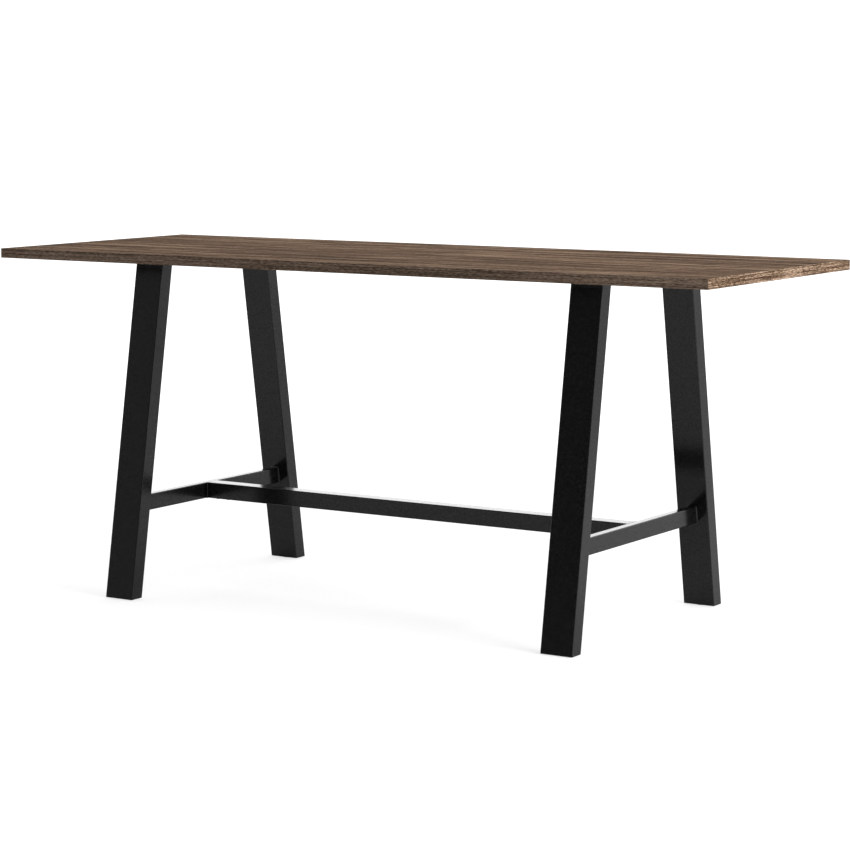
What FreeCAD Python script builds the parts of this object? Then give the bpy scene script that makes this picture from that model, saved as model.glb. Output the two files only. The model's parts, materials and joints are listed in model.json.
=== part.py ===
import FreeCAD, Part
import math
import os

# High table: a long laminated top on two end frames of leaning legs, joined by a foot rail.
# Millimetres. The origin is on the floor under the middle of the top.
# +X runs along the top to the right, +Y runs to the rear, +Z is up.

# Overall sizes
TOP_LENGTH = 2438.4
TOP_WIDTH = 914.4
TABLE_HEIGHT = 1054.0

# Layers and edging of the top
CORE_THICKNESS = 28.0
LAMINATE_THICKNESS = 0.8
BACKER_THICKNESS = 0.8
EDGE_BAND_THICKNESS = 2.0
EDGE_BAND_RADIUS = 1.0
ROUNDING_LIMIT = 0.9  # largest share of a wall that a rounding takes

# Leg tubes: END_OVERHANG is from the end of the top to a leg's outer side,
# LEG_TOP_SET_BACK from the long edge of the top to a leg's outer face just under the top.
LEG_WIDTH = 101.6
LEG_DEPTH = 50.0
LEG_WALL = 2.0
LEG_CORNER_RADIUS = 3.0
LEG_INSIDE_RADIUS = 1.0
END_OVERHANG = 403.5
LEG_TOP_SET_BACK = 165.1

# Flat plates that carry the top on the legs: PLATE_MARGIN is beside a leg, PLATE_TAIL beyond it
PLATE_THICKNESS = 6.0
PLATE_MARGIN = 20.0
PLATE_TAIL = 64.0

# Stretchers between the legs and the foot rail between the end frames
RAIL_TOP_HEIGHT = 306.0
RAIL_HEIGHT = 50.0
RAIL_DEPTH = 50.8
STRETCHER_WIDTH = 25.4
RAIL_WALL = 2.0
RAIL_CORNER_RADIUS = 2.5
RAIL_INSIDE_RADIUS = 0.8

# Spigots that the foot rail slides over
SPIGOT_LENGTH = 90.0
SPIGOT_WALL = 3.0
SPIGOT_CLEARANCE = 0.3
SPIGOT_CORNER_RADIUS = 4.0
SPIGOT_INSIDE_RADIUS = 1.0
RAIL_SCREW_FIRST = 25.0
RAIL_SCREW_PITCH = 40.0

# Screws, nuts and inserts: M8 in the rail and the feet, M6 in the top
M8_DIAMETER = 8.0
M8_NUT_FLATS = 13.0
M8_NUT_HEIGHT = 6.5
M8_HEAD_DIAMETER = 14.0
M8_HEAD_HEIGHT = 4.4
M8_HEAD_ROUNDING = 2.2
M8_KEY_FLATS = 5.0
M8_KEY_DEPTH = 2.6
M6_DIAMETER = 6.0
M6_HEAD_DIAMETER = 10.5
M6_HEAD_HEIGHT = 3.3
M6_HEAD_ROUNDING = 1.6
M6_KEY_FLATS = 4.0
M6_KEY_DEPTH = 2.0
THREAD_CLEARANCE = 0.05
HOLE_CLEARANCE = 0.5
SCREW_TIP = 2.0
INSERT_DIAMETER = 10.0
INSERT_LENGTH = 15.0
INSERT_SCREW_GAP = 3.0
INSERT_HOLE_SPARE = 1.0
WASHER_DIAMETER = 18.0
WASHER_THICKNESS = 1.6
TOP_SCREW_EDGE = 25.0
INNER_SCREW_REACH = 95.0

# Levelling feet inside the ends of the legs, drawn fully screwed in
FOOT_GAP = 2.0
PAD_WALL_GAP = 3.5
PAD_EDGE = 1.0
PAD_FLOOR = 3.0
PAD_LID = 2.4
PAD_STOP_GAP = 0.3
FOOT_PLATE_THICKNESS = 5.0
FOOT_PLATE_GAP = 0.1
COLLAR_DIAMETER = 16.0
COLLAR_HEIGHT = 3.0
COLLAR_GAP = 0.3
STEM_ABOVE_NUT = 12.0
STEM_KEY_DEPTH = 6.0
KEY_HOLE_GAP = 0.6

# Sizes that follow from the ones above
HALF_LENGTH = TOP_LENGTH / 2
HALF_WIDTH = TOP_WIDTH / 2
TOP_THICKNESS = CORE_THICKNESS + LAMINATE_THICKNESS + BACKER_THICKNESS
UNDERSIDE = TABLE_HEIGHT - TOP_THICKNESS
CORE_BOTTOM = UNDERSIDE + BACKER_THICKNESS
LEG_TOP = UNDERSIDE - PLATE_THICKNESS
LEG_BOTTOM = FOOT_GAP
LEG_X = HALF_LENGTH - END_OVERHANG - LEG_WIDTH / 2
SLOPE = LEG_TOP_SET_BACK / (UNDERSIDE - LEG_BOTTOM)
LEAN_COSINE = math.cos(math.atan(SLOPE))
LEG_LEVEL_DEPTH = LEG_DEPTH / LEAN_COSINE
LEG_BORE_WIDTH = LEG_WIDTH - 2 * LEG_WALL
LEG_BORE_LEVEL_DEPTH = (LEG_DEPTH - 2 * LEG_WALL) / LEAN_COSINE
RAIL_BOTTOM = RAIL_TOP_HEIGHT - RAIL_HEIGHT
RAIL_MIDDLE = RAIL_TOP_HEIGHT - RAIL_HEIGHT / 2
RAIL_END = LEG_X - STRETCHER_WIDTH / 2

ENDS = {"left": -1, "right": 1}
SIDES = {"front": -1, "rear": 1}
UP = FreeCAD.Vector(0, 0, 1)
ALONG_X = FreeCAD.Vector(1, 0, 0)
ALONG_Y = FreeCAD.Vector(0, 1, 0)
SQUARE_CORNERS = 4
HEX_SIDES = 6
SAME_PLACE = 1e-6


def leg_outer_y(z):
    """Distance of a leg's outer face from the middle of the table at a height."""
    return HALF_WIDTH - SLOPE * (z - LEG_BOTTOM)


def leg_inner_y(z):
    """Distance of a leg's inner face from the middle of the table at a height."""
    return leg_outer_y(z) - LEG_LEVEL_DEPTH


def leg_middle_y(z):
    """Distance of a leg's middle from the middle of the table at a height."""
    return leg_outer_y(z) - LEG_LEVEL_DEPTH / 2


def rounded_face(width, depth, radius):
    """A level rectangle with rounded corners, centred on the origin."""
    arcs = []
    for corner in range(SQUARE_CORNERS):
        start_angle = 90 * corner
        middle_angle = math.radians(start_angle + 45)
        centre_x = math.copysign(width / 2 - radius, math.cos(middle_angle))
        centre_y = math.copysign(depth / 2 - radius, math.sin(middle_angle))
        centre = FreeCAD.Vector(centre_x, centre_y, 0)
        arcs.append(Part.makeCircle(radius, centre, UP, start_angle, start_angle + 90))
    edges = []
    for arc, next_arc in zip(arcs, arcs[1:] + arcs[:1]):
        line_start = arc.valueAt(arc.LastParameter)
        line_end = next_arc.valueAt(next_arc.FirstParameter)
        edges.extend([arc, Part.makeLine(line_start, line_end)])
    return Part.Face(Part.Wire(edges))


def hexagon_bar(flats, height, x, y, z):
    """An upright hexagon bar measured across its flats, standing on a height."""
    corner_radius = flats / 2 / math.cos(math.pi / HEX_SIDES)
    points = []
    for corner in range(HEX_SIDES + 1):
        angle = 2 * math.pi * corner / HEX_SIDES
        across = corner_radius * math.cos(angle)
        along = corner_radius * math.sin(angle)
        points.append(FreeCAD.Vector(x + across, y + along, z))
    return Part.Face(Part.makePolygon(points)).extrude(UP * height)


def upright_cylinder(diameter, height, x, y, z):
    """An upright cylinder standing on a height."""
    return Part.makeCylinder(diameter / 2, height, FreeCAD.Vector(x, y, z), UP)


def centred_box(size_x, size_y, z_low, z_high, x=0.0, y=0.0):
    """An upright block around a point, between two heights."""
    corner = FreeCAD.Vector(x - size_x / 2, y - size_y / 2, z_low)
    return Part.makeBox(size_x, size_y, z_high - z_low, corner)


def edges_centred(shape, **place):
    """The edges whose middle has the given coordinates, such as x=0."""
    chosen = []
    for edge in shape.Edges:
        middle = edge.CenterOfMass
        if all(abs(getattr(middle, axis) - value) < SAME_PLACE for axis, value in place.items()):
            chosen.append(edge)
    return chosen


def leaning_bar(end, side, width, level_depth, radius, z_low, z_high):
    """A solid bar that follows a leg's lean, cut level at two heights."""
    section = rounded_face(width, level_depth, radius)
    section.translate(FreeCAD.Vector(end * LEG_X, side * leg_middle_y(z_low), z_low))
    height = z_high - z_low
    return section.extrude(FreeCAD.Vector(0, -side * SLOPE * height, height))


def tube_along(axis, length, width, height, wall, radius, inside_radius):
    """A level square-ended tube along X or Y, centred on the origin; width is its other level size."""
    outer = rounded_face(width, height, radius).extrude(UP * length)
    inner = rounded_face(width - 2 * wall, height - 2 * wall, inside_radius).extrude(UP * length)
    tube = outer.cut(inner)
    tube.translate(UP * (-length / 2))
    tube.rotate(FreeCAD.Vector(0, 0, 0), ALONG_X, 90)
    if axis == ALONG_X:
        tube.rotate(FreeCAD.Vector(0, 0, 0), UP, 90)
    return tube


# The top: core, laminate, backer and edge bands

def plate_screw_places(end):
    """Where the screws go through one top plate."""
    offset_x = LEG_WIDTH / 2 + PLATE_MARGIN - TOP_SCREW_EDGE
    outer_y = leg_outer_y(LEG_TOP) + PLATE_TAIL / 2
    inner_y = leg_inner_y(LEG_TOP) - INNER_SCREW_REACH
    places = []
    for x in (end * LEG_X - offset_x, end * LEG_X + offset_x):
        for y in (-outer_y, -inner_y, inner_y, outer_y):
            places.append((x, y))
    return places


TOP_SCREW_PLACES = plate_screw_places(ENDS["left"]) + plate_screw_places(ENDS["right"])
BOARD_LENGTH = TOP_LENGTH - 2 * EDGE_BAND_THICKNESS
BOARD_WIDTH = TOP_WIDTH - 2 * EDGE_BAND_THICKNESS
BAND_ROUNDING = min(EDGE_BAND_RADIUS, ROUNDING_LIMIT * EDGE_BAND_THICKNESS)


def drilled(shape, diameter, z_low, depth, places):
    """The shape with upright round holes of one depth."""
    drills = [upright_cylinder(diameter, depth, x, y, z_low) for x, y in places]
    return shape.cut(Part.makeCompound(drills))


def top_core():
    core_top = CORE_BOTTOM + CORE_THICKNESS
    core = centred_box(BOARD_LENGTH, BOARD_WIDTH, CORE_BOTTOM, core_top)
    hole = INSERT_DIAMETER + 2 * THREAD_CLEARANCE
    return drilled(core, hole, CORE_BOTTOM, INSERT_LENGTH + INSERT_HOLE_SPARE, TOP_SCREW_PLACES)


def top_laminate():
    return centred_box(BOARD_LENGTH, BOARD_WIDTH, TABLE_HEIGHT - LAMINATE_THICKNESS, TABLE_HEIGHT)


def top_backer():
    backer = centred_box(BOARD_LENGTH, BOARD_WIDTH, UNDERSIDE, CORE_BOTTOM)
    hole = INSERT_DIAMETER + 2 * THREAD_CLEARANCE
    return drilled(backer, hole, UNDERSIDE, BACKER_THICKNESS, TOP_SCREW_PLACES)


def long_edge_band(side):
    """A band on a long edge, running the full length of the top."""
    middle_y = side * (HALF_WIDTH - EDGE_BAND_THICKNESS / 2)
    band = centred_box(TOP_LENGTH, EDGE_BAND_THICKNESS, UNDERSIDE, TABLE_HEIGHT, y=middle_y)
    return band.makeFillet(BAND_ROUNDING, edges_centred(band, x=0.0, y=side * HALF_WIDTH))


def short_edge_band(end):
    """A band on a short edge, fitted between the long bands."""
    middle_x = end * (HALF_LENGTH - EDGE_BAND_THICKNESS / 2)
    band = centred_box(EDGE_BAND_THICKNESS, BOARD_WIDTH, UNDERSIDE, TABLE_HEIGHT, x=middle_x)
    return band.makeFillet(BAND_ROUNDING, edges_centred(band, x=end * HALF_LENGTH, y=0.0))


# End frames: legs, top plates and end stretchers, welded together

def leg(end, side):
    outer = leaning_bar(end, side, LEG_WIDTH, LEG_LEVEL_DEPTH, LEG_CORNER_RADIUS, LEG_BOTTOM, LEG_TOP)
    bore = leaning_bar(
        end, side, LEG_BORE_WIDTH, LEG_BORE_LEVEL_DEPTH, LEG_INSIDE_RADIUS, LEG_BOTTOM, LEG_TOP
    )
    return outer.cut(bore)


def top_plate(end):
    width = LEG_WIDTH + 2 * PLATE_MARGIN
    length = 2 * (leg_outer_y(LEG_TOP) + PLATE_TAIL)
    plate = centred_box(width, length, LEG_TOP, UNDERSIDE, x=end * LEG_X)
    return drilled(plate, M6_DIAMETER + 2 * HOLE_CLEARANCE, LEG_TOP, PLATE_THICKNESS, plate_screw_places(end))


def end_stretcher(end):
    """A level tube between a front and a rear leg, with its ends cut to their lean."""
    length = 2 * leg_inner_y(RAIL_BOTTOM)
    tube = tube_along(
        ALONG_Y, length, STRETCHER_WIDTH, RAIL_HEIGHT, RAIL_WALL, RAIL_CORNER_RADIUS, RAIL_INSIDE_RADIUS
    )
    tube.translate(FreeCAD.Vector(end * LEG_X, 0, RAIL_MIDDLE))
    room_x = end * LEG_X - STRETCHER_WIDTH
    bottom_y = leg_inner_y(RAIL_BOTTOM)
    top_y = leg_inner_y(RAIL_TOP_HEIGHT)
    bottom = [(-bottom_y, RAIL_BOTTOM), (bottom_y, RAIL_BOTTOM)]
    top = [(top_y, RAIL_TOP_HEIGHT), (-top_y, RAIL_TOP_HEIGHT)]
    points = [FreeCAD.Vector(room_x, y, z) for y, z in bottom + top + bottom[:1]]
    room = Part.Face(Part.makePolygon(points)).extrude(ALONG_X * (2 * STRETCHER_WIDTH))
    return tube.common(room)


# Foot rail with its spigots, nuts and screws

SPIGOT_DEPTH = RAIL_DEPTH - 2 * RAIL_WALL - 2 * SPIGOT_CLEARANCE
SPIGOT_HEIGHT = RAIL_HEIGHT - 2 * RAIL_WALL - 2 * SPIGOT_CLEARANCE
SPIGOT_BOTTOM = RAIL_BOTTOM + RAIL_WALL + SPIGOT_CLEARANCE
SPIGOT_FLOOR = SPIGOT_BOTTOM + SPIGOT_WALL


def rail_screw_places(end):
    """Where the screws go up into one spigot."""
    first_x = RAIL_END - RAIL_SCREW_FIRST
    return [(end * first_x, 0.0), (end * (first_x - RAIL_SCREW_PITCH), 0.0)]


RAIL_SCREW_PLACES = rail_screw_places(ENDS["left"]) + rail_screw_places(ENDS["right"])


def foot_rail():
    rail = tube_along(
        ALONG_X, 2 * RAIL_END, RAIL_DEPTH, RAIL_HEIGHT, RAIL_WALL, RAIL_CORNER_RADIUS, RAIL_INSIDE_RADIUS
    )
    rail.translate(UP * RAIL_MIDDLE)
    return drilled(rail, M8_DIAMETER + 2 * HOLE_CLEARANCE, RAIL_BOTTOM, RAIL_WALL, RAIL_SCREW_PLACES)


def rail_spigot(end):
    """A short tube welded to an end stretcher, which the foot rail slides over."""
    spigot = tube_along(
        ALONG_X,
        SPIGOT_LENGTH,
        SPIGOT_DEPTH,
        SPIGOT_HEIGHT,
        SPIGOT_WALL,
        SPIGOT_CORNER_RADIUS,
        SPIGOT_INSIDE_RADIUS,
    )
    spigot.translate(FreeCAD.Vector(end * (RAIL_END - SPIGOT_LENGTH / 2), 0, RAIL_MIDDLE))
    hole = M8_DIAMETER + 2 * HOLE_CLEARANCE
    return drilled(spigot, hole, SPIGOT_BOTTOM, SPIGOT_WALL, rail_screw_places(end))


def hexagon_nut(x, y, z):
    """An M8 nut standing on a height."""
    nut = hexagon_bar(M8_NUT_FLATS, M8_NUT_HEIGHT, x, y, z)
    return nut.cut(upright_cylinder(M8_DIAMETER + 2 * THREAD_CLEARANCE, M8_NUT_HEIGHT, x, y, z))


def m8_screw(length, x, y, seat):
    """A button-headed M8 screw driven upwards, its head under a seat."""
    shank = upright_cylinder(M8_DIAMETER, length, x, y, seat)
    head_bottom = seat - M8_HEAD_HEIGHT
    head = upright_cylinder(M8_HEAD_DIAMETER, M8_HEAD_HEIGHT, x, y, head_bottom)
    head = head.makeFillet(M8_HEAD_ROUNDING, edges_centred(head, z=head_bottom))
    socket = hexagon_bar(M8_KEY_FLATS, M8_KEY_DEPTH, x, y, head_bottom)
    return head.fuse(shank).removeSplitter().cut(socket)


def m6_screw(length, x, y, seat):
    """A button-headed M6 screw driven upwards, its head under a seat."""
    shank = upright_cylinder(M6_DIAMETER, length, x, y, seat)
    head_bottom = seat - M6_HEAD_HEIGHT
    head = upright_cylinder(M6_HEAD_DIAMETER, M6_HEAD_HEIGHT, x, y, head_bottom)
    head = head.makeFillet(M6_HEAD_ROUNDING, edges_centred(head, z=head_bottom))
    socket = hexagon_bar(M6_KEY_FLATS, M6_KEY_DEPTH, x, y, head_bottom)
    return head.fuse(shank).removeSplitter().cut(socket)


def rail_nuts():
    return Part.makeCompound([hexagon_nut(x, y, SPIGOT_FLOOR) for x, y in RAIL_SCREW_PLACES])


def rail_screws():
    length = SPIGOT_FLOOR + M8_NUT_HEIGHT + SCREW_TIP - RAIL_BOTTOM
    return Part.makeCompound([m8_screw(length, x, y, RAIL_BOTTOM) for x, y in RAIL_SCREW_PLACES])


# Fastening of the top to the plates

def top_inserts():
    inserts = []
    for x, y in TOP_SCREW_PLACES:
        body = upright_cylinder(INSERT_DIAMETER, INSERT_LENGTH, x, y, CORE_BOTTOM)
        bore = upright_cylinder(M6_DIAMETER + 2 * THREAD_CLEARANCE, INSERT_LENGTH, x, y, CORE_BOTTOM)
        inserts.append(body.cut(bore))
    return Part.makeCompound(inserts)


def top_washers():
    washers = []
    for x, y in TOP_SCREW_PLACES:
        disc = upright_cylinder(WASHER_DIAMETER, WASHER_THICKNESS, x, y, LEG_TOP - WASHER_THICKNESS)
        hole_diameter = M6_DIAMETER + HOLE_CLEARANCE
        hole = upright_cylinder(hole_diameter, WASHER_THICKNESS, x, y, LEG_TOP - WASHER_THICKNESS)
        washers.append(disc.cut(hole))
    return Part.makeCompound(washers)


def top_screws():
    seat = LEG_TOP - WASHER_THICKNESS
    length = CORE_BOTTOM + INSERT_LENGTH - INSERT_SCREW_GAP - seat
    return Part.makeCompound([m6_screw(length, x, y, seat) for x, y in TOP_SCREW_PLACES])


# Levelling feet: a plate with a nut welded in each leg, a threaded stem, and a pad on the stem's collar

PAD_POCKET_HEIGHT = COLLAR_HEIGHT + 2 * COLLAR_GAP
PAD_HEIGHT = PAD_FLOOR + PAD_POCKET_HEIGHT + PAD_LID
FOOT_PLATE_BOTTOM = PAD_HEIGHT + PAD_STOP_GAP
FOOT_PLATE_TOP = FOOT_PLATE_BOTTOM + FOOT_PLATE_THICKNESS
FOOT_NUT_TOP = FOOT_PLATE_TOP + M8_NUT_HEIGHT
FOOT_AXIS_Y = leg_middle_y((LEG_BOTTOM + FOOT_PLATE_TOP) / 2)
PAD_DIAMETER = LEG_BORE_LEVEL_DEPTH - 2 * PAD_WALL_GAP
COLLAR_BOTTOM = PAD_FLOOR + COLLAR_GAP
STEM_HOLE = M8_DIAMETER + 2 * HOLE_CLEARANCE


def foot_plate(end, side):
    width = LEG_BORE_WIDTH - 2 * FOOT_PLATE_GAP
    depth = LEG_BORE_LEVEL_DEPTH - 2 * FOOT_PLATE_GAP
    plate = leaning_bar(end, side, width, depth, LEG_INSIDE_RADIUS, FOOT_PLATE_BOTTOM, FOOT_PLATE_TOP)
    axis = (end * LEG_X, side * FOOT_AXIS_Y)
    return drilled(plate, STEM_HOLE, FOOT_PLATE_BOTTOM, FOOT_PLATE_THICKNESS, [axis])


def foot_nuts():
    nuts = []
    for end in ENDS.values():
        for side in SIDES.values():
            nuts.append(hexagon_nut(end * LEG_X, side * FOOT_AXIS_Y, FOOT_PLATE_TOP))
    return Part.makeCompound(nuts)


def leveller_pad(end, side):
    """A moulded disc with a pocket that holds the stem's collar, and a key hole through its floor."""
    x = end * LEG_X
    y = side * FOOT_AXIS_Y
    disc = upright_cylinder(PAD_DIAMETER, PAD_HEIGHT, x, y, 0.0)
    disc = disc.makeChamfer(PAD_EDGE, edges_centred(disc, z=0.0) + edges_centred(disc, z=PAD_HEIGHT))
    pocket = upright_cylinder(COLLAR_DIAMETER + 2 * COLLAR_GAP, PAD_POCKET_HEIGHT, x, y, PAD_FLOOR)
    key_corners = M8_KEY_FLATS / math.cos(math.pi / HEX_SIDES)
    key_hole = upright_cylinder(key_corners + 2 * KEY_HOLE_GAP, PAD_FLOOR, x, y, 0.0)
    neck = upright_cylinder(STEM_HOLE, PAD_HEIGHT - PAD_FLOOR, x, y, PAD_FLOOR)
    return disc.cut(pocket.fuse([key_hole, neck]))


def leveller_stem(end, side):
    """A threaded stem with a collar at its foot and a key socket in the collar's face."""
    x = end * LEG_X
    y = side * FOOT_AXIS_Y
    collar = upright_cylinder(COLLAR_DIAMETER, COLLAR_HEIGHT, x, y, COLLAR_BOTTOM)
    rod_height = FOOT_NUT_TOP + STEM_ABOVE_NUT - COLLAR_BOTTOM
    rod = upright_cylinder(M8_DIAMETER, rod_height, x, y, COLLAR_BOTTOM)
    socket = hexagon_bar(M8_KEY_FLATS, STEM_KEY_DEPTH, x, y, COLLAR_BOTTOM)
    return collar.fuse(rod).removeSplitter().cut(socket)


# Every piece by name

pieces = {
    "top_core": top_core(),
    "top_laminate": top_laminate(),
    "top_backer": top_backer(),
    "foot_rail": foot_rail(),
    "rail_nuts": rail_nuts(),
    "rail_screws": rail_screws(),
    "top_inserts": top_inserts(),
    "top_washers": top_washers(),
    "top_screws": top_screws(),
    "foot_nuts": foot_nuts(),
}
for side_name, side in SIDES.items():
    pieces[f"edge_band_{side_name}"] = long_edge_band(side)
for end_name, end in ENDS.items():
    pieces[f"edge_band_{end_name}"] = short_edge_band(end)
    pieces[f"top_plate_{end_name}"] = top_plate(end)
    pieces[f"end_stretcher_{end_name}"] = end_stretcher(end)
    pieces[f"rail_spigot_{end_name}"] = rail_spigot(end)
    for side_name, side in SIDES.items():
        corner_name = f"{side_name}_{end_name}"
        pieces[f"leg_{corner_name}"] = leg(end, side)
        pieces[f"foot_plate_{corner_name}"] = foot_plate(end, side)
        pieces[f"leveller_pad_{corner_name}"] = leveller_pad(end, side)
        pieces[f"leveller_stem_{corner_name}"] = leveller_stem(end, side)

os.makedirs("parts", exist_ok=True)
for name, shape in pieces.items():
    shape.exportStep(f"parts/{name}.step")
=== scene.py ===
# %% [markdown]
# # A high table, dressed for a studio picture
# The solids of the table are already packed as a frame: every piece has its place and its real size
# in metres, with +X along the top, +Y to the rear and +Z up. This lesson puts the looks on that frame:
# it models the tubes and edge bands that show, paints every piece, and sets up the studio.

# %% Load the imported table
import json
import math

import bmesh
import bpy
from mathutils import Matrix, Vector


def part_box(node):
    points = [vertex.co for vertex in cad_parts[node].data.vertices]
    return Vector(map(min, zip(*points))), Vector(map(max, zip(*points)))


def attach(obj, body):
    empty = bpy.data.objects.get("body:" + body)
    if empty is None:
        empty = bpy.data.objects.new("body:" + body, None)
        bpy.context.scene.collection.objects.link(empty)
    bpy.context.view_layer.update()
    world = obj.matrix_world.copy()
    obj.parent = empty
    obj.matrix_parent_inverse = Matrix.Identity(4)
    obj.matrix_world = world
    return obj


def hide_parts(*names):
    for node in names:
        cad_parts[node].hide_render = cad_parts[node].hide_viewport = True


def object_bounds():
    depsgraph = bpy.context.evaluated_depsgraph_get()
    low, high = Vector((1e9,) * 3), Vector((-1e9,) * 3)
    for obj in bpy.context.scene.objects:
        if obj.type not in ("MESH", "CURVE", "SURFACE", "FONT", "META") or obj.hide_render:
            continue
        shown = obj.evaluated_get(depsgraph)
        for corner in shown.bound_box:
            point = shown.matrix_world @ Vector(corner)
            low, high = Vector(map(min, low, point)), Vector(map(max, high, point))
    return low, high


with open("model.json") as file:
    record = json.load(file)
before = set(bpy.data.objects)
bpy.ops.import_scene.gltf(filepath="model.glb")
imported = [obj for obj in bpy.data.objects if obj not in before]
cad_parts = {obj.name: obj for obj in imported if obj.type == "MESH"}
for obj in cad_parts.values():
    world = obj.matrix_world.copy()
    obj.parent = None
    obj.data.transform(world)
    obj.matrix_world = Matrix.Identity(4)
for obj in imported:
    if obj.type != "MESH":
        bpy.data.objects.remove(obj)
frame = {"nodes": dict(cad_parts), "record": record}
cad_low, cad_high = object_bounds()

MM = 0.001
print("table box", [round(value, 4) for value in cad_low], [round(value, 4) for value in cad_high])

# %% [markdown]
# ## Tools for the bench
# Each new piece starts as a cube that is added at its size and place, and is then shaped in edit mode.
# Operators act on whatever is selected, and the loaded frame comes in selected, so everything is
# deselected first. Edges and faces are then picked in code by where they lie and which way they run.
# Applying the transform puts the place in the mesh, so the finished object sits at the origin.

# %% Add a block
def block(name, low, high):
    """A cube that fills a box, with its place in its mesh."""
    bpy.ops.object.select_all(action="DESELECT")
    low = Vector(low)
    high = Vector(high)
    bpy.ops.mesh.primitive_cube_add(size=1, location=(low + high) / 2, scale=high - low)
    piece = bpy.context.active_object
    piece.name = name
    piece.data.name = name
    bpy.ops.object.transform_apply(location=True, rotation=True, scale=True)
    return piece


# %% Pick edges and faces
# A direction counts as along an axis from this share of its length, and as across it up to the other.
ALONG = 0.9
ACROSS = 0.1
# Places nearer than this count as the same.
NEAR = 0.1 * MM


def pick_edges(piece, test):
    """Selects only the edges whose middle and direction pass a test."""
    bpy.context.tool_settings.mesh_select_mode = (False, True, False)
    bpy.ops.mesh.select_all(action="DESELECT")
    mesh = bmesh.from_edit_mesh(piece.data)
    for edge in mesh.edges:
        start = edge.verts[0].co
        end = edge.verts[1].co
        if test((start + end) / 2, (end - start).normalized()):
            edge.select_set(True)
    bmesh.update_edit_mesh(piece.data)


def pick_faces(piece, test):
    """Selects only the faces whose middle and normal pass a test."""
    bpy.context.tool_settings.mesh_select_mode = (False, False, True)
    bpy.ops.mesh.select_all(action="DESELECT")
    mesh = bmesh.from_edit_mesh(piece.data)
    for face in mesh.faces:
        if test(face.calc_center_median(), face.normal):
            face.select_set(True)
    bmesh.update_edit_mesh(piece.data)


# %% Smooth a finished shape
SMOOTH_ANGLE = math.radians(40)
LARGEST_FACES_LEAD = 100


def finish_shape(piece):
    """Leaves edit mode and smooths the rounded edges, while the large flat faces stay flat."""
    bpy.ops.object.mode_set(mode="OBJECT")
    bpy.ops.object.shade_smooth_by_angle(angle=SMOOTH_ANGLE)
    bpy.ops.object.modifier_add(type="WEIGHTED_NORMAL")
    piece.modifiers[-1].keep_sharp = True
    piece.modifiers[-1].weight = LARGEST_FACES_LEAD
    bpy.ops.object.modifier_apply(modifier=piece.modifiers[-1].name)
    print(piece.name, len(piece.data.polygons), "faces")
    return piece


# %% Copy a piece and move the copy
def copy_of(piece, name):
    """A copy with its own mesh, left at the same place."""
    twin = piece.copy()
    twin.data = piece.data.copy()
    twin.name = name
    twin.data.name = name
    bpy.context.collection.objects.link(twin)
    return twin


def move_mesh(piece, offset=(0, 0, 0), half_turn=False):
    """Moves a piece, or turns it half round the table's upright axis, in its mesh."""
    bpy.ops.object.select_all(action="DESELECT")
    piece.select_set(True)
    bpy.context.view_layer.objects.active = piece
    if half_turn:
        bpy.ops.transform.rotate(value=math.pi, orient_axis="Z", center_override=(0, 0, 0))
    bpy.ops.transform.translate(value=offset)
    bpy.ops.object.transform_apply(location=True, rotation=True, scale=True)
    return piece


# %% [markdown]
# ## Leaning legs
# A leg is a straight rectangular steel tube that leans only front to rear and is cut level at both ends.
# It could be a swept curve, but a cube with its upper corners pushed over is simpler and gives exactly
# flat sides. A level cut through a leaning tube is deeper than the tube, and how much depends on the lean,
# so the two are worked out together in a few passes.

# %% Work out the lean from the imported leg
LEG_TUBE_DEPTH = 50 * MM
LEAN_PASSES = 6

leg_low, leg_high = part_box("leg_front_left")
leg_height = leg_high.z - leg_low.z
leg_level_depth = LEG_TUBE_DEPTH
for _ in range(LEAN_PASSES):
    leg_push = leg_high.y - leg_low.y - leg_level_depth
    leg_level_depth = LEG_TUBE_DEPTH * math.hypot(1, leg_push / leg_height)
leg_slope = leg_push / leg_height
print("leg leans", round(math.degrees(math.atan(leg_slope)), 2), "degrees")

# %% [markdown]
# The four upright edges are bevelled to the tube's corner radius, and the sharp edge of the foot is broken
# with a smaller bevel. The foot end is then inset by the wall and pushed up along the lean, so that from
# below the leg is open, as a tube is. The upper end is out of sight against its plate, and stays closed.

# %% Model the front left leg
LEG_WALL = 2 * MM
LEG_CORNER_RADIUS = 3 * MM
LEG_END_ROUNDING = 0.5 * MM
LEG_OPEN_DEPTH = 70 * MM
TUBE_SEGMENTS = 4
END_SEGMENTS = 2

leg_start_high = (leg_high.x, leg_low.y + leg_level_depth, leg_high.z)
front_left_leg = block("tube_leg_front_left", leg_low, leg_start_high)
bpy.ops.object.mode_set(mode="EDIT")
pick_faces(front_left_leg, lambda middle, normal: normal.z > ALONG)
bpy.ops.transform.translate(value=(0, leg_push, 0))
pick_edges(front_left_leg, lambda middle, run: abs(run.z) > ALONG)
bpy.ops.mesh.bevel(offset=LEG_CORNER_RADIUS, segments=TUBE_SEGMENTS, affect="EDGES")
pick_edges(front_left_leg, lambda middle, run: middle.z < leg_low.z + NEAR and abs(run.z) < ACROSS)
bpy.ops.mesh.bevel(offset=LEG_END_ROUNDING, segments=END_SEGMENTS, affect="EDGES")
pick_faces(front_left_leg, lambda middle, normal: middle.z < leg_low.z + NEAR and normal.z < -ALONG)
bpy.ops.mesh.inset(thickness=LEG_WALL - LEG_END_ROUNDING)
bpy.ops.mesh.extrude_region_move(
    TRANSFORM_OT_translate={"value": (0, leg_slope * LEG_OPEN_DEPTH, LEG_OPEN_DEPTH)}
)
finish_shape(front_left_leg)

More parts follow.
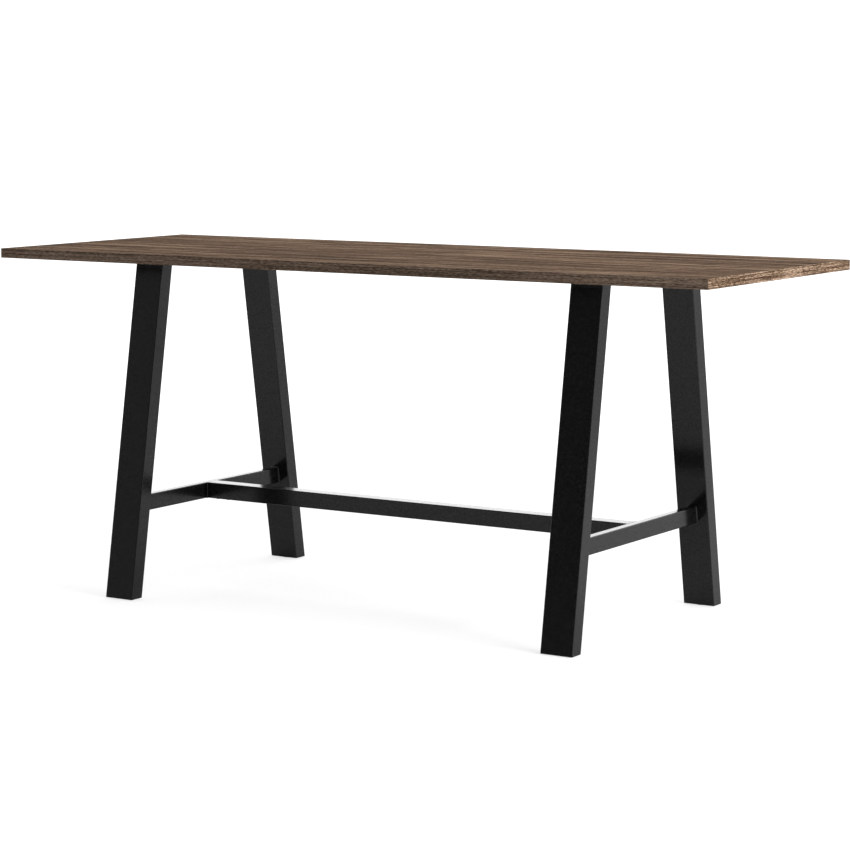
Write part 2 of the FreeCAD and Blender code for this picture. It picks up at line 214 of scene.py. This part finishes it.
# %% Copy the leg to the other three corners
leg_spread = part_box("leg_front_right")[0].x - leg_low.x
front_right_leg = move_mesh(copy_of(front_left_leg, "tube_leg_front_right"), (leg_spread, 0, 0))
rear_right_leg = move_mesh(copy_of(front_left_leg, "tube_leg_rear_right"), half_turn=True)
rear_left_leg = move_mesh(copy_of(rear_right_leg, "tube_leg_rear_left"), (-leg_spread, 0, 0))
print("left and right legs stand", round(leg_spread, 4), "m apart")

# %% [markdown]
# ## End stretchers
# The stretchers are flat-sided tubes welded between a front and a rear leg, so their ends follow the lean.
# Around each joint the dressed weld is a small hollow curve, and on the black coat it catches a thin line
# of light. It could be a separate ring, but then a seam would show. Here the end of the bar itself is
# extruded in a few short steps that widen as they near the joint: steps on a quarter circle make the curve.

# %% A helper that flares the end of a bar into its joint
WELD_RADIUS = 4.5 * MM
WELD_STEPS = 4


def flare_end(bar, end_test, outward, middle, half_size, widens):
    """Extrudes the end of a bar by the weld's radius, widening it along a quarter circle on some axes."""
    pick_faces(bar, end_test)
    gone = 0.0
    widened = 0.0
    for step in range(1, WELD_STEPS + 1):
        turn = math.pi / 2 * step / WELD_STEPS
        forward = WELD_RADIUS * math.sin(turn)
        wider = WELD_RADIUS * (1 - math.cos(turn))
        bpy.ops.mesh.extrude_region_move(
            TRANSFORM_OT_translate={"value": Vector(outward) * (forward - gone)}
        )
        growth = [
            (half + wider) / (half + widened) if axis in widens else 1.0
            for axis, half in zip("xyz", half_size)
        ]
        bpy.ops.transform.resize(value=growth, center_override=middle)
        gone = forward
        widened = wider


# %% Model one end stretcher
RAIL_CORNER_RADIUS = 2.5 * MM
BOTH_ENDS = (-1, 1)

bar_low, bar_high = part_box("end_stretcher_left")
bar_middle = (bar_low + bar_high) / 2
bar_half = (bar_high - bar_low) / 2
bar_weld_room = Vector((0, WELD_RADIUS, 0))
end_push = leg_slope * (bar_high.z - bar_low.z)
left_stretcher = block("tube_end_stretcher_left", bar_low + bar_weld_room, bar_high - bar_weld_room)
bpy.ops.object.mode_set(mode="EDIT")
for end in BOTH_ENDS:
    pick_edges(
        left_stretcher,
        lambda middle, run: middle.z > bar_high.z - NEAR and middle.y * end > bar_half.y / 2,
    )
    bpy.ops.transform.translate(value=(0, -end * end_push, 0))
pick_edges(left_stretcher, lambda middle, run: abs(run.y) > ALONG)
bpy.ops.mesh.bevel(offset=RAIL_CORNER_RADIUS, segments=TUBE_SEGMENTS, affect="EDGES")
for end in BOTH_ENDS:
    flare_end(
        left_stretcher,
        end_test=lambda middle, normal: normal.y * end > ALONG,
        outward=(0, end, 0),
        middle=bar_middle,
        half_size=bar_half,
        widens="xz",
    )
finish_shape(left_stretcher)

# %% Copy it to the other end of the table
stretcher_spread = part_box("end_stretcher_right")[0].x - bar_low.x
right_stretcher = move_mesh(copy_of(left_stretcher, "tube_end_stretcher_right"), (stretcher_spread, 0, 0))
print("stretchers stand", round(stretcher_spread, 4), "m apart")

# %% [markdown]
# ## Foot rail
# The foot rail is a square tube from the middle of one stretcher to the middle of the other, level with both
# above and below. It is made like a stretcher, but its ends are square, and they flare only to the
# front and rear, because there is nothing above or below the stretchers for them to run onto.

# %% Model the foot rail
rail_low, rail_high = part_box("foot_rail")
rail_middle = (rail_low + rail_high) / 2
rail_half = (rail_high - rail_low) / 2
rail_weld_room = Vector((WELD_RADIUS, 0, 0))
foot_rail = block("tube_foot_rail", rail_low + rail_weld_room, rail_high - rail_weld_room)
bpy.ops.object.mode_set(mode="EDIT")
pick_edges(foot_rail, lambda middle, run: abs(run.x) > ALONG)
bpy.ops.mesh.bevel(offset=RAIL_CORNER_RADIUS, segments=TUBE_SEGMENTS, affect="EDGES")
for end in BOTH_ENDS:
    flare_end(
        foot_rail,
        end_test=lambda middle, normal: normal.x * end > ALONG,
        outward=(end, 0, 0),
        middle=rail_middle,
        half_size=rail_half,
        widens="y",
    )
finish_shape(foot_rail)

# %% [markdown]
# ## Edge bands
# The board is edged with a band of the same woodgrain, trimmed flush and eased over with a small radius.
# The bands are thin blocks whose outer edges are bevelled with a few segments, so the edge of the top
# is a soft line and not a razor. The long bands run the full length and show their ends at the corners.

# %% Model the four edge bands
BAND_RADIUS = 1.0 * MM
BAND_SEGMENTS = 4
BAND_SIDES = {"front": (0, -1, 0), "rear": (0, 1, 0), "left": (-1, 0, 0), "right": (1, 0, 0)}


def edge_band(side, outward):
    """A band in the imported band's place, rounded along the edges that face outward."""
    low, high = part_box("edge_band_" + side)
    band = block("band_" + side, low, high)
    outer_place = max(low.dot(outward), high.dot(outward))
    bpy.ops.object.mode_set(mode="EDIT")
    pick_edges(band, lambda middle, run: middle.dot(outward) > outer_place - NEAR)
    bpy.ops.mesh.bevel(offset=BAND_RADIUS, segments=BAND_SEGMENTS, affect="EDGES")
    return finish_shape(band)


bands = {side: edge_band(side, Vector(outward)) for side, outward in BAND_SIDES.items()}

# %% [markdown]
# ## A small language for finishes
# A finish is a node tree. Written node by node it is long and hard to read, so a socket is wrapped in a
# class whose sums and products add Math nodes by themselves. One method makes any other node
# from its type, its settings and what goes into its sockets.

# %% Wrap sockets so that they can be added and multiplied
class Wire:
    """An output socket that can stand in a sum: each operator adds a Math node."""

    def __init__(self, finish, socket):
        self.finish = finish
        self.socket = socket

    def maths(self, operation, first, second):
        return self.finish.make("ShaderNodeMath", {"operation": operation}, {0: first, 1: second})

    def __add__(self, other):
        return self.maths("ADD", self, other)

    def __radd__(self, other):
        return self.maths("ADD", other, self)

    def __sub__(self, other):
        return self.maths("SUBTRACT", self, other)

    def __rsub__(self, other):
        return self.maths("SUBTRACT", other, self)

    def __mul__(self, other):
        return self.maths("MULTIPLY", self, other)

    def __rmul__(self, other):
        return self.maths("MULTIPLY", other, self)

    def at_least(self, other):
        return self.maths("MAXIMUM", self, other)


# %% Make any node with one method
class Finish:
    """A node tree of a material or of the world, with one method that makes its nodes."""

    def __init__(self, tree):
        self.tree = tree

    def make(self, kind, settings=None, sockets=None, output=0):
        """Adds a node, sets it up, fills its sockets and gives back one of its outputs."""
        node = self.tree.nodes.new(kind)
        for name, value in (settings or {}).items():
            if name == "stops":
                self.set_stops(node.color_ramp, value)
            else:
                setattr(node, name, value)
        for name, value in (sockets or {}).items():
            self.join(node.inputs[name], value)
        return Wire(self, node.outputs[output])

    def set_stops(self, ramp, stops):
        """Gives a colour ramp its stops, each a position and a colour."""
        while len(ramp.elements) < len(stops):
            ramp.elements.new(1.0)
        for element, (position, colour) in zip(ramp.elements, stops):
            element.position = position
            element.color = (*colour, 1.0)

    def join(self, socket, value):
        """Links a wire to a socket, or writes a plain value in it."""
        if isinstance(value, Wire):
            self.tree.links.new(value.socket, socket)
        else:
            socket.default_value = value


# %% Start a finish and set its shader
def new_finish(name):
    """An empty painted finish: its Finish, its material and its shader node."""
    material = bpy.data.materials.new(name)
    material.use_nodes = True
    return Finish(material.node_tree), material, material.node_tree.nodes["Principled BSDF"]


def set_shader(finish, shader, **values):
    """Sets or links the shader's sockets, named with underscores for spaces."""
    for name, value in values.items():
        finish.join(shader.inputs[name.replace("_", " ")], value)


# %% The nodes that every finish uses
# A Mix node has sockets for several kinds of value. These are the numbers of those for colours.
MIX_SHARE = 0
MIX_FIRST = 6
MIX_SECOND = 7
MIX_RESULT = 2


def noise(finish, per_metre, detail=2.0, roughness=0.5, distortion=0.0):
    """Noise on the piece's own coordinates, with its features counted per metre along X, Y and Z."""
    place = finish.make("ShaderNodeTexCoord", output="Object")
    scaled = finish.make("ShaderNodeMapping", sockets={"Vector": place, "Scale": per_metre})
    return finish.make(
        "ShaderNodeTexNoise",
        sockets={
            "Vector": scaled,
            "Scale": 1.0,
            "Detail": detail,
            "Roughness": roughness,
            "Distortion": distortion,
        },
    )


def between(finish, value, low, high):
    """How far a value has come from low to high, held between 0 and 1 with soft ends."""
    return finish.make(
        "ShaderNodeMapRange",
        {"interpolation_type": "SMOOTHSTEP"},
        {"Value": value, "From Min": low, "From Max": high},
    )


def mix_colour(finish, share, first, second):
    """Two colours mixed by a share."""
    sockets = {MIX_SHARE: share, MIX_FIRST: first, MIX_SECOND: second}
    return finish.make("ShaderNodeMix", {"data_type": "RGBA"}, sockets, output=MIX_RESULT)


def bump(finish, height, strength, distance):
    """A Bump node, to be linked to a shader's Normal."""
    return finish.make(
        "ShaderNodeBump", sockets={"Height": height, "Strength": strength, "Distance": distance}
    )


print("finish tools ready")

# %% [markdown]
# ## Woodgrain
# The board is faced with a printed and embossed laminate: brown, with long soft streaks, finer fibres inside
# them and short dark pores. A wave texture would repeat too evenly. Noise that is stretched along the grain
# gives each of these at its own scale, and the layers are added by their shares. The mix lies close round
# one half, so the tones of the ramp sit close together there, from the darkest streak to the lightest.

# %% The tones of the face and of its edges
FACE_TONES = [
    (0.440, (0.0291, 0.0166, 0.0097)),
    (0.477, (0.0829, 0.0501, 0.0304)),
    (0.523, (0.1378, 0.0847, 0.0521)),
    (0.565, (0.2744, 0.1837, 0.1198)),
]
LONG_EDGE_TONES = [
    (0.42, (0.0525, 0.0360, 0.0255)),
    (0.475, (0.1110, 0.0780, 0.0570)),
    (0.525, (0.1613, 0.1147, 0.0848)),
    (0.58, (0.2438, 0.1800, 0.1380)),
]
# The end edges' tones are lighter than the face's: partly the band's own warmer colour, partly painted light
# standing in for the strong lamp on the right.
END_EDGE_TONES_WITH_PAINTED_LIGHT = [
    (0.44, (0.033, 0.018, 0.011)),
    (0.48, (0.098, 0.061, 0.039)),
    (0.53, (0.184, 0.123, 0.083)),
    (0.575, (0.377, 0.275, 0.197)),
]
PORE_COLOUR = (0.020, 0.012, 0.009, 1.0)
print("tones from dark to light:", len(FACE_TONES), "on the face")

# %% The layers of grain, from broad streaks to fine fibres
# Each layer: features per metre along the grain, per metre across it, detail, and share in the mix.
FACE_LAYERS = (
    (0.4, 3.0, 2.0, 0.09),
    (1.4, 20.0, 4.0, 0.21),
    (3.2, 66.0, 4.0, 0.30),
    (9.0, 140.0, 3.0, 0.16),
    (16.0, 420.0, 3.0, 0.14),
    (60.0, 90.0, 2.0, 0.10),
)
LONG_EDGE_LAYERS = (
    (0.5, 12.0, 2.0, 0.10),
    (1.5, 260.0, 3.0, 0.34),
    (9.0, 380.0, 4.0, 0.24),
    (75.0, 330.0, 2.0, 0.32),
)
END_EDGE_LAYERS = (
    (2.5, 40.0, 3.0, 0.12),
    (5.0, 300.0, 2.0, 0.36),
    (55.0, 420.0, 2.0, 0.30),
    (160.0, 800.0, 2.0, 0.22),
)
ALONG_X = 0
ALONG_Y = 1


def along_grain(long_way, per_metre_along, per_metre_across):
    """Noise counts with the long features along X or along Y."""
    counts = [per_metre_across] * 3
    counts[long_way] = per_metre_along
    return counts


print("grain layers:", len(FACE_LAYERS), "on the face,", len(END_EDGE_LAYERS), "on an edge")

# %% Growth rings on the face
RINGS_PER_METRE = 18.0
RING_BEND = 12.0
RING_BENDS_PER_METRE = (0.35, 2.6, 2.6)
RING_BEND_ROUGHNESS = 0.45
RING_SHARE = 0.025


def growth_rings(finish):
    """Lines along X that bend with a slow noise, as growth rings do on a sawn face, from -0.5 to 0.5."""
    place = finish.make("ShaderNodeTexCoord", output="Object")
    across = finish.make("ShaderNodeSeparateXYZ", sockets={0: place}, output="Y")
    bend = noise(finish, RING_BENDS_PER_METRE, roughness=RING_BEND_ROUGHNESS)
    turns = (across * RINGS_PER_METRE + bend * RING_BEND) * (2 * math.pi)
    wave = finish.make("ShaderNodeMath", {"operation": "SINE"}, {0: turns})
    return wave * 0.5


# %% [markdown]
# The same recipe serves the face and the edge bands, with the grain turned to run along each edge. The
# last and finest layer also presses the fibres into the sheet, as the embossing does, and the pores are
# darker, rougher and deeper. The sheet is satin and has next to no shine, so that its colour stays rich
# when it is seen at a shallow angle.

# %% Mix the woodgrain
FIBRE_ROUGHNESS = 0.6
FIBRE_BEND = 0.3
PORES_ALONG = 42.0
PORES_ACROSS = 900.0
PORE_RANGE = (0.56, 0.68)
PORE_SHARE = 0.6
LAMINATE_ROUGHNESS = 0.7
LAMINATE_SHINE = 0.003
PORE_ROUGHER = 0.15
FIBRE_SMOOTHER = 0.10
EMBOSS_STRENGTH = 0.25
EMBOSS_DEPTH = 0.15 * MM


def woodgrain(name, long_way, layers, tones, ring_share=0.0):
    """A satin woodgrain whose grain runs along X or along Y."""
    finish, material, shader = new_finish(name)
    grain = 0.0
    for along, across, detail, share in layers:
        counts = along_grain(long_way, along, across)
        fibre = noise(finish, counts, detail, FIBRE_ROUGHNESS, FIBRE_BEND)
        grain = fibre * share + grain
    if ring_share:
        grain = grain + growth_rings(finish) * ring_share
    ramp = finish.make("ShaderNodeValToRGB", {"stops": tones}, {"Fac": grain})
    pore = noise(finish, along_grain(long_way, PORES_ALONG, PORES_ACROSS))
    pores = between(finish, pore, *PORE_RANGE)
    set_shader(
        finish,
        shader,
        Base_Color=mix_colour(finish, pores * PORE_SHARE, ramp, PORE_COLOUR),
        Roughness=LAMINATE_ROUGHNESS + pores * PORE_ROUGHER - fibre * FIBRE_SMOOTHER,
        Specular_IOR_Level=LAMINATE_SHINE,
        Normal=bump(finish, (fibre - pores) * 0.5, EMBOSS_STRENGTH, EMBOSS_DEPTH),
    )
    print(name, len(finish.tree.nodes), "nodes")
    return material


face_grain = woodgrain("woodgrain_face", ALONG_X, FACE_LAYERS, FACE_TONES, RING_SHARE)
long_edge_grain = woodgrain("woodgrain_long_edge", ALONG_X, LONG_EDGE_LAYERS, LONG_EDGE_TONES)
# The end edges' ramp is partly lightened with painted light.
end_edge_grain = woodgrain("woodgrain_end_edge", ALONG_Y, END_EDGE_LAYERS, END_EDGE_TONES_WITH_PAINTED_LIGHT)

# %% [markdown]
# ## Black coated steel
# The frame is sprayed black and stoved: almost black, smooth enough for clear reflections at a shallow angle,
# with the very fine ripple that a sprayed coat has. A dark base with a low roughness does most of it. The
# ripple is a faint bump, and the roughness wanders a little so that large faces aren't dead flat. The fine
# droplets are in the clear layer on top: where it is thicker the coat shines more, and the base stays dark.

# %% Spray the frame
COAT_COLOUR = (0.0010, 0.0010, 0.0011, 1.0)
COAT_DUST = (0.0080, 0.0080, 0.0082, 1.0)
SPECKLES_PER_METRE = (150.0, 150.0, 150.0)
RIPPLES_PER_METRE = (260.0, 260.0, 260.0)
DRIFTS_PER_METRE = (3.0, 3.0, 3.0)
DROPLETS_PER_METRE = (260.0, 260.0, 260.0)
DUST_RANGE = (0.44, 0.62)
DROPLET_RANGE = (0.38, 0.62)
COAT_ROUGHNESS = 0.12
COAT_WANDER = 0.06
COAT_SHINE = 0.40
CLEAR_LAYER = 0.45
CLEAR_LAYER_ROUGHNESS = 0.18
SPECKLE_RELIEF = 0.4
COAT_RELIEF_STRENGTH = 0.04
COAT_RELIEF_DEPTH = 0.05 * MM

coat, black_coat, coat_shader = new_finish("black_sprayed_coat")
speckle = noise(coat, SPECKLES_PER_METRE, detail=6.0, roughness=0.85)
ripple = noise(coat, RIPPLES_PER_METRE)
drift = noise(coat, DRIFTS_PER_METRE, detail=3.0)
droplets = noise(coat, DROPLETS_PER_METRE, detail=3.0, roughness=0.65)
set_shader(
    coat,
    coat_shader,
    Base_Color=mix_colour(coat, between(coat, speckle, *DUST_RANGE), COAT_COLOUR, COAT_DUST),
    Roughness=COAT_ROUGHNESS + speckle * COAT_WANDER + drift * COAT_WANDER,
    Specular_IOR_Level=COAT_SHINE,
    Coat_Weight=between(coat, droplets, *DROPLET_RANGE) * CLEAR_LAYER,
    Coat_Roughness=CLEAR_LAYER_ROUGHNESS,
    Normal=bump(coat, ripple + speckle * SPECKLE_RELIEF, COAT_RELIEF_STRENGTH, COAT_RELIEF_DEPTH),
)
print(black_coat.name, len(coat.tree.nodes), "nodes")

# %% [markdown]
# ## Hidden materials
# From below one sees the balancing sheet under the board, the fasteners, and the nylon pads of the levelling
# feet. They get their own finishes: a matt sheet with a faint mottle, zinc with its small crystals, black
# screws with an oiled sheen, and nylon with a moulded grain. The board's core is pressed wood chips. All of
# them wander between two close colours over a fine relief, so one helper mixes them.

# %% A helper that mixes two close colours over a relief
PATCH_RANGE = (0.35, 0.65)
FINER = 6
FINE_ROUGHER = 0.12
PATCH_SMOOTHER = 0.08
PATCH_RELIEF = 0.4
FINE_RELIEF = 0.6
RELIEF_DEPTH = 0.1 * MM


def mottled(name, first, second, per_metre, roughness, relief, metallic=0.0):
    """A finish that wanders between two colours, with a fine relief."""
    finish, material, shader = new_finish(name)
    patch = noise(finish, (per_metre,) * 3, detail=4.0, roughness=0.6)
    fine = noise(finish, (per_metre * FINER,) * 3, detail=3.0, roughness=0.6)
    share = between(finish, patch, *PATCH_RANGE)
    set_shader(
        finish,
        shader,
        Base_Color=mix_colour(finish, share, (*first, 1.0), (*second, 1.0)),
        Roughness=roughness + fine * FINE_ROUGHER - patch * PATCH_SMOOTHER,
        Metallic=metallic,
        Normal=bump(finish, patch * PATCH_RELIEF + fine * FINE_RELIEF, relief, RELIEF_DEPTH),
    )
    print(name, per_metre, "patches per metre")
    return material


# %% Mix the hidden materials
backer_sheet = mottled(
    "backer_sheet", (0.040, 0.034, 0.030), (0.055, 0.047, 0.042), per_metre=90.0, roughness=0.55, relief=0.15
)
pressed_chips = mottled(
    "pressed_chips", (0.30, 0.20, 0.12), (0.46, 0.34, 0.22), per_metre=260.0, roughness=0.85, relief=0.5
)
zinc_plate = mottled(
    "zinc_plate",
    (0.52, 0.53, 0.54),
    (0.66, 0.66, 0.64),
    per_metre=420.0,
    roughness=0.30,
    relief=0.10,
    metallic=1.0,
)
black_screws = mottled(
    "black_screw_steel",
    (0.012, 0.012, 0.013),
    (0.024, 0.023, 0.022),
    per_metre=500.0,
    roughness=0.35,
    relief=0.10,
)
pad_nylon = mottled(
    "pad_nylon", (0.018, 0.018, 0.019), (0.028, 0.028, 0.029), per_metre=700.0, roughness=0.55, relief=0.30
)

# %% [markdown]
# ## Dress the frame
# New pieces stand for the imported ones that they replace and ride on the same body, so they move with it.
# They could also be parented by hand, but a helper finds or makes the body's empty, and asks only for a name.

# %% Put the new pieces in place
def dress(piece, node, finish):
    """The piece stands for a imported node, moves with its body and wears a finish."""
    piece.data.materials.clear()
    piece.data.materials.append(finish)
    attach(piece, "table")
    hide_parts(node)


tubes = {
    "leg_front_left": front_left_leg,
    "leg_front_right": front_right_leg,
    "leg_rear_right": rear_right_leg,
    "leg_rear_left": rear_left_leg,
    "end_stretcher_left": left_stretcher,
    "end_stretcher_right": right_stretcher,
    "foot_rail": foot_rail,
}
for node, tube in tubes.items():
    dress(tube, node, black_coat)
for side in ("front", "rear"):
    dress(bands[side], "edge_band_" + side, long_edge_grain)
for side in ("left", "right"):
    dress(bands[side], "edge_band_" + side, end_edge_grain)
print("dressed", len(tubes), "tubes and", len(bands), "edge bands")

# %% [markdown]
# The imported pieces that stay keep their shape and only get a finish. Each piece has a slot in the record
# that says what it is made of, so a short list from slot to finish paints them all and misses none.

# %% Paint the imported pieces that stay
SLOT_FINISHES = {
    "woodgrain_laminate": face_grain,
    "woodgrain_edge": long_edge_grain,
    "chipboard_core": pressed_chips,
    "backer_sheet": backer_sheet,
    "black_coated_steel": black_coat,
    "black_hardware": black_screws,
    "zinc_hardware": zinc_plate,
    "foot_nylon": pad_nylon,
}
for subpart in frame["record"]["subparts"]:
    node_object = frame["nodes"][subpart["node"]]
    for material_slot in node_object.material_slots:
        material_slot.material = SLOT_FINISHES[subpart["material_slot"]]

# %% [markdown]
# ## Studio floor
# The floor is a large pale plane that catches the table's shadow. Lit alone it would be grey against the
# white background, so it also glows a little for the camera, and more with distance, until it
# meets the white without a line. In the mirror of the black coat the glow is much weaker, because
# there the floor of a real studio is darker than its walls.

# %% Lay the floor
FLOOR_SIZE = 60.0
FLOOR_DROP = 0.5 * MM

bpy.ops.object.select_all(action="DESELECT")
bpy.ops.mesh.primitive_plane_add(size=FLOOR_SIZE, location=(0, 0, cad_low.z - FLOOR_DROP))
floor = bpy.context.active_object
floor.name = "studio_floor"
print("floor", FLOOR_SIZE, "m wide,", FLOOR_DROP / MM, "mm under the table")

# %% Paint the floor
FLOOR_PAINT = (0.40, 0.40, 0.40, 1.0)
FLOOR_ROUGHNESS = 0.9
FLOOR_LIFT = 0.675
MIRRORED_LIFT = 0.04
FLOOR_FADE = (2.0, 5.0)
BLACK = (0.0, 0.0, 0.0, 1.0)
WHITE = (1.0, 1.0, 1.0, 1.0)

floor_finish, floor_paint, floor_shader = new_finish("pale_floor")
seen = floor_finish.make("ShaderNodeLightPath", output="Is Camera Ray")
mirrored = floor_finish.make("ShaderNodeLightPath", output="Is Glossy Ray")
spot = floor_finish.make("ShaderNodeTexCoord", output="Object")
reach = floor_finish.make("ShaderNodeVectorMath", {"operation": "LENGTH"}, {0: spot}, output="Value")
far_off = between(floor_finish, reach, *FLOOR_FADE)
floor_glow = seen * (FLOOR_LIFT + far_off * (1.0 - FLOOR_LIFT)) + mirrored * MIRRORED_LIFT
set_shader(
    floor_finish,
    floor_shader,
    Base_Color=FLOOR_PAINT,
    Roughness=FLOOR_ROUGHNESS,
    Specular_IOR_Level=0.0,
    Emission_Color=mix_colour(floor_finish, floor_glow, BLACK, WHITE),
    Emission_Strength=1.0,
)
floor.data.materials.append(floor_paint)
print("floor fades to white from", FLOOR_FADE[0], "to", FLOOR_FADE[1], "m")

# %% [markdown]
# ## Room light
# The room is white where the camera looks. The light that it gives falls off towards the front, as it does in
# a studio with a dark end behind the camera, so the fronts of the legs stay black while their sides and
# the rail's upper face mirror the bright rear wall. An even white world would turn every black face grey.

# %% Light the room
ROOM_FRONT = 0.035
ROOM_BACK = 1.35
REAR_SHARE = 0.75
SIDE_SHARE = 0.52
BACK_RANGE = (-0.5, 0.5)
WHITE_WALL = 0.55
WALL_RANGE = (0.45, 0.85)

world = bpy.data.worlds.new("white_studio")
bpy.context.scene.world = world
world.use_nodes = True
room = Finish(world.node_tree)
direction = room.make("ShaderNodeTexCoord", output="Generated")
rightness = room.make("ShaderNodeSeparateXYZ", sockets={0: direction}, output="X")
rearness = room.make("ShaderNodeSeparateXYZ", sockets={0: direction}, output="Y")
sideness = room.make("ShaderNodeMath", {"operation": "ABSOLUTE"}, {0: rightness})
towards_back = between(room, rearness * REAR_SHARE + sideness * SIDE_SHARE, *BACK_RANGE)
white_wall = between(room, rearness, *WALL_RANGE) * WHITE_WALL
seen_by_camera = room.make("ShaderNodeLightPath", output="Is Camera Ray")
room_light = ROOM_FRONT + towards_back * (ROOM_BACK - ROOM_FRONT) + white_wall
background = world.node_tree.nodes["Background"]
room.join(background.inputs["Color"], WHITE)
room.join(background.inputs["Strength"], room_light.at_least(seen_by_camera))
print("room light from", ROOM_FRONT, "in front to", round(ROOM_BACK + WHITE_WALL, 2), "at the rear")

# %% [markdown]
# ## Soft boxes
# Three large lamps shape the table: a strong one from the right, which makes the end edge the brightest, a
# weak one overhead and a weak fill from the front. Large lamps give soft shadows. Two of them are hidden
# from glossy rays: mirrored in the coat they would draw bright lines down the corners of the tubes.

# %% Hang the soft boxes
def soft_box(name, place, target, size, power):
    """A large square lamp that faces a point."""
    lamp = bpy.data.lights.new(name, "AREA")
    lamp.shape = "SQUARE"
    lamp.size = size
    lamp.energy = power
    holder = bpy.data.objects.new(name, lamp)
    bpy.context.collection.objects.link(holder)
    holder.location = place
    holder.rotation_euler = (Vector(target) - Vector(place)).to_track_quat("-Z", "Y").to_euler()
    print(name, power, "W,", size, "m wide")
    return holder


right_lamp = soft_box("right_soft_box", place=(5.5, -0.8, 2.0), target=(0, 0, 0.9), size=2.6, power=300)
soft_box("top_soft_box", place=(0.5, 0.3, 5.0), target=(0, 0, 0.5), size=4.0, power=12)
front_lamp = soft_box("front_soft_box", place=(1.5, -6.0, 1.6), target=(0, 0, 0.8), size=3.0, power=60)
right_lamp.visible_glossy = False
front_lamp.visible_glossy = False

# %% [markdown]
# ## Camera
# The picture was taken from the front right, a little above the top, with a long lens. The numbers come
# from fitting the table's straight edges. A small downward shift keeps the uprights nearly parallel. The
# colours go to the picture as they are, without a film look, so a white stays white.

# %% Set the camera
FRAME_PIXELS = 850
FOCAL_PIXELS = 2713.3
CENTRE_ROW = 297.5
SENSOR = 36.0
SIGHT_LIMIT = 200.0
CAMERA_PLACE = (4.40362, -6.82795, 1.56868)
CAMERA_YAW = 0.5678
CAMERA_PITCH = 0.0794

camera_data = bpy.data.cameras.new("photo_camera")
camera_data.sensor_width = SENSOR
camera_data.lens = FOCAL_PIXELS / FRAME_PIXELS * SENSOR
camera_data.shift_y = (CENTRE_ROW - FRAME_PIXELS / 2) / FRAME_PIXELS
camera_data.clip_end = SIGHT_LIMIT
camera = bpy.data.objects.new("photo_camera", camera_data)
bpy.context.collection.objects.link(camera)
camera.location = CAMERA_PLACE
camera.rotation_euler = (math.pi / 2 - CAMERA_PITCH, 0, CAMERA_YAW)
bpy.context.scene.camera = camera
bpy.context.scene.view_settings.view_transform = "Standard"
print("lens", round(camera_data.lens, 1), "mm, shift", round(camera_data.shift_y, 3))
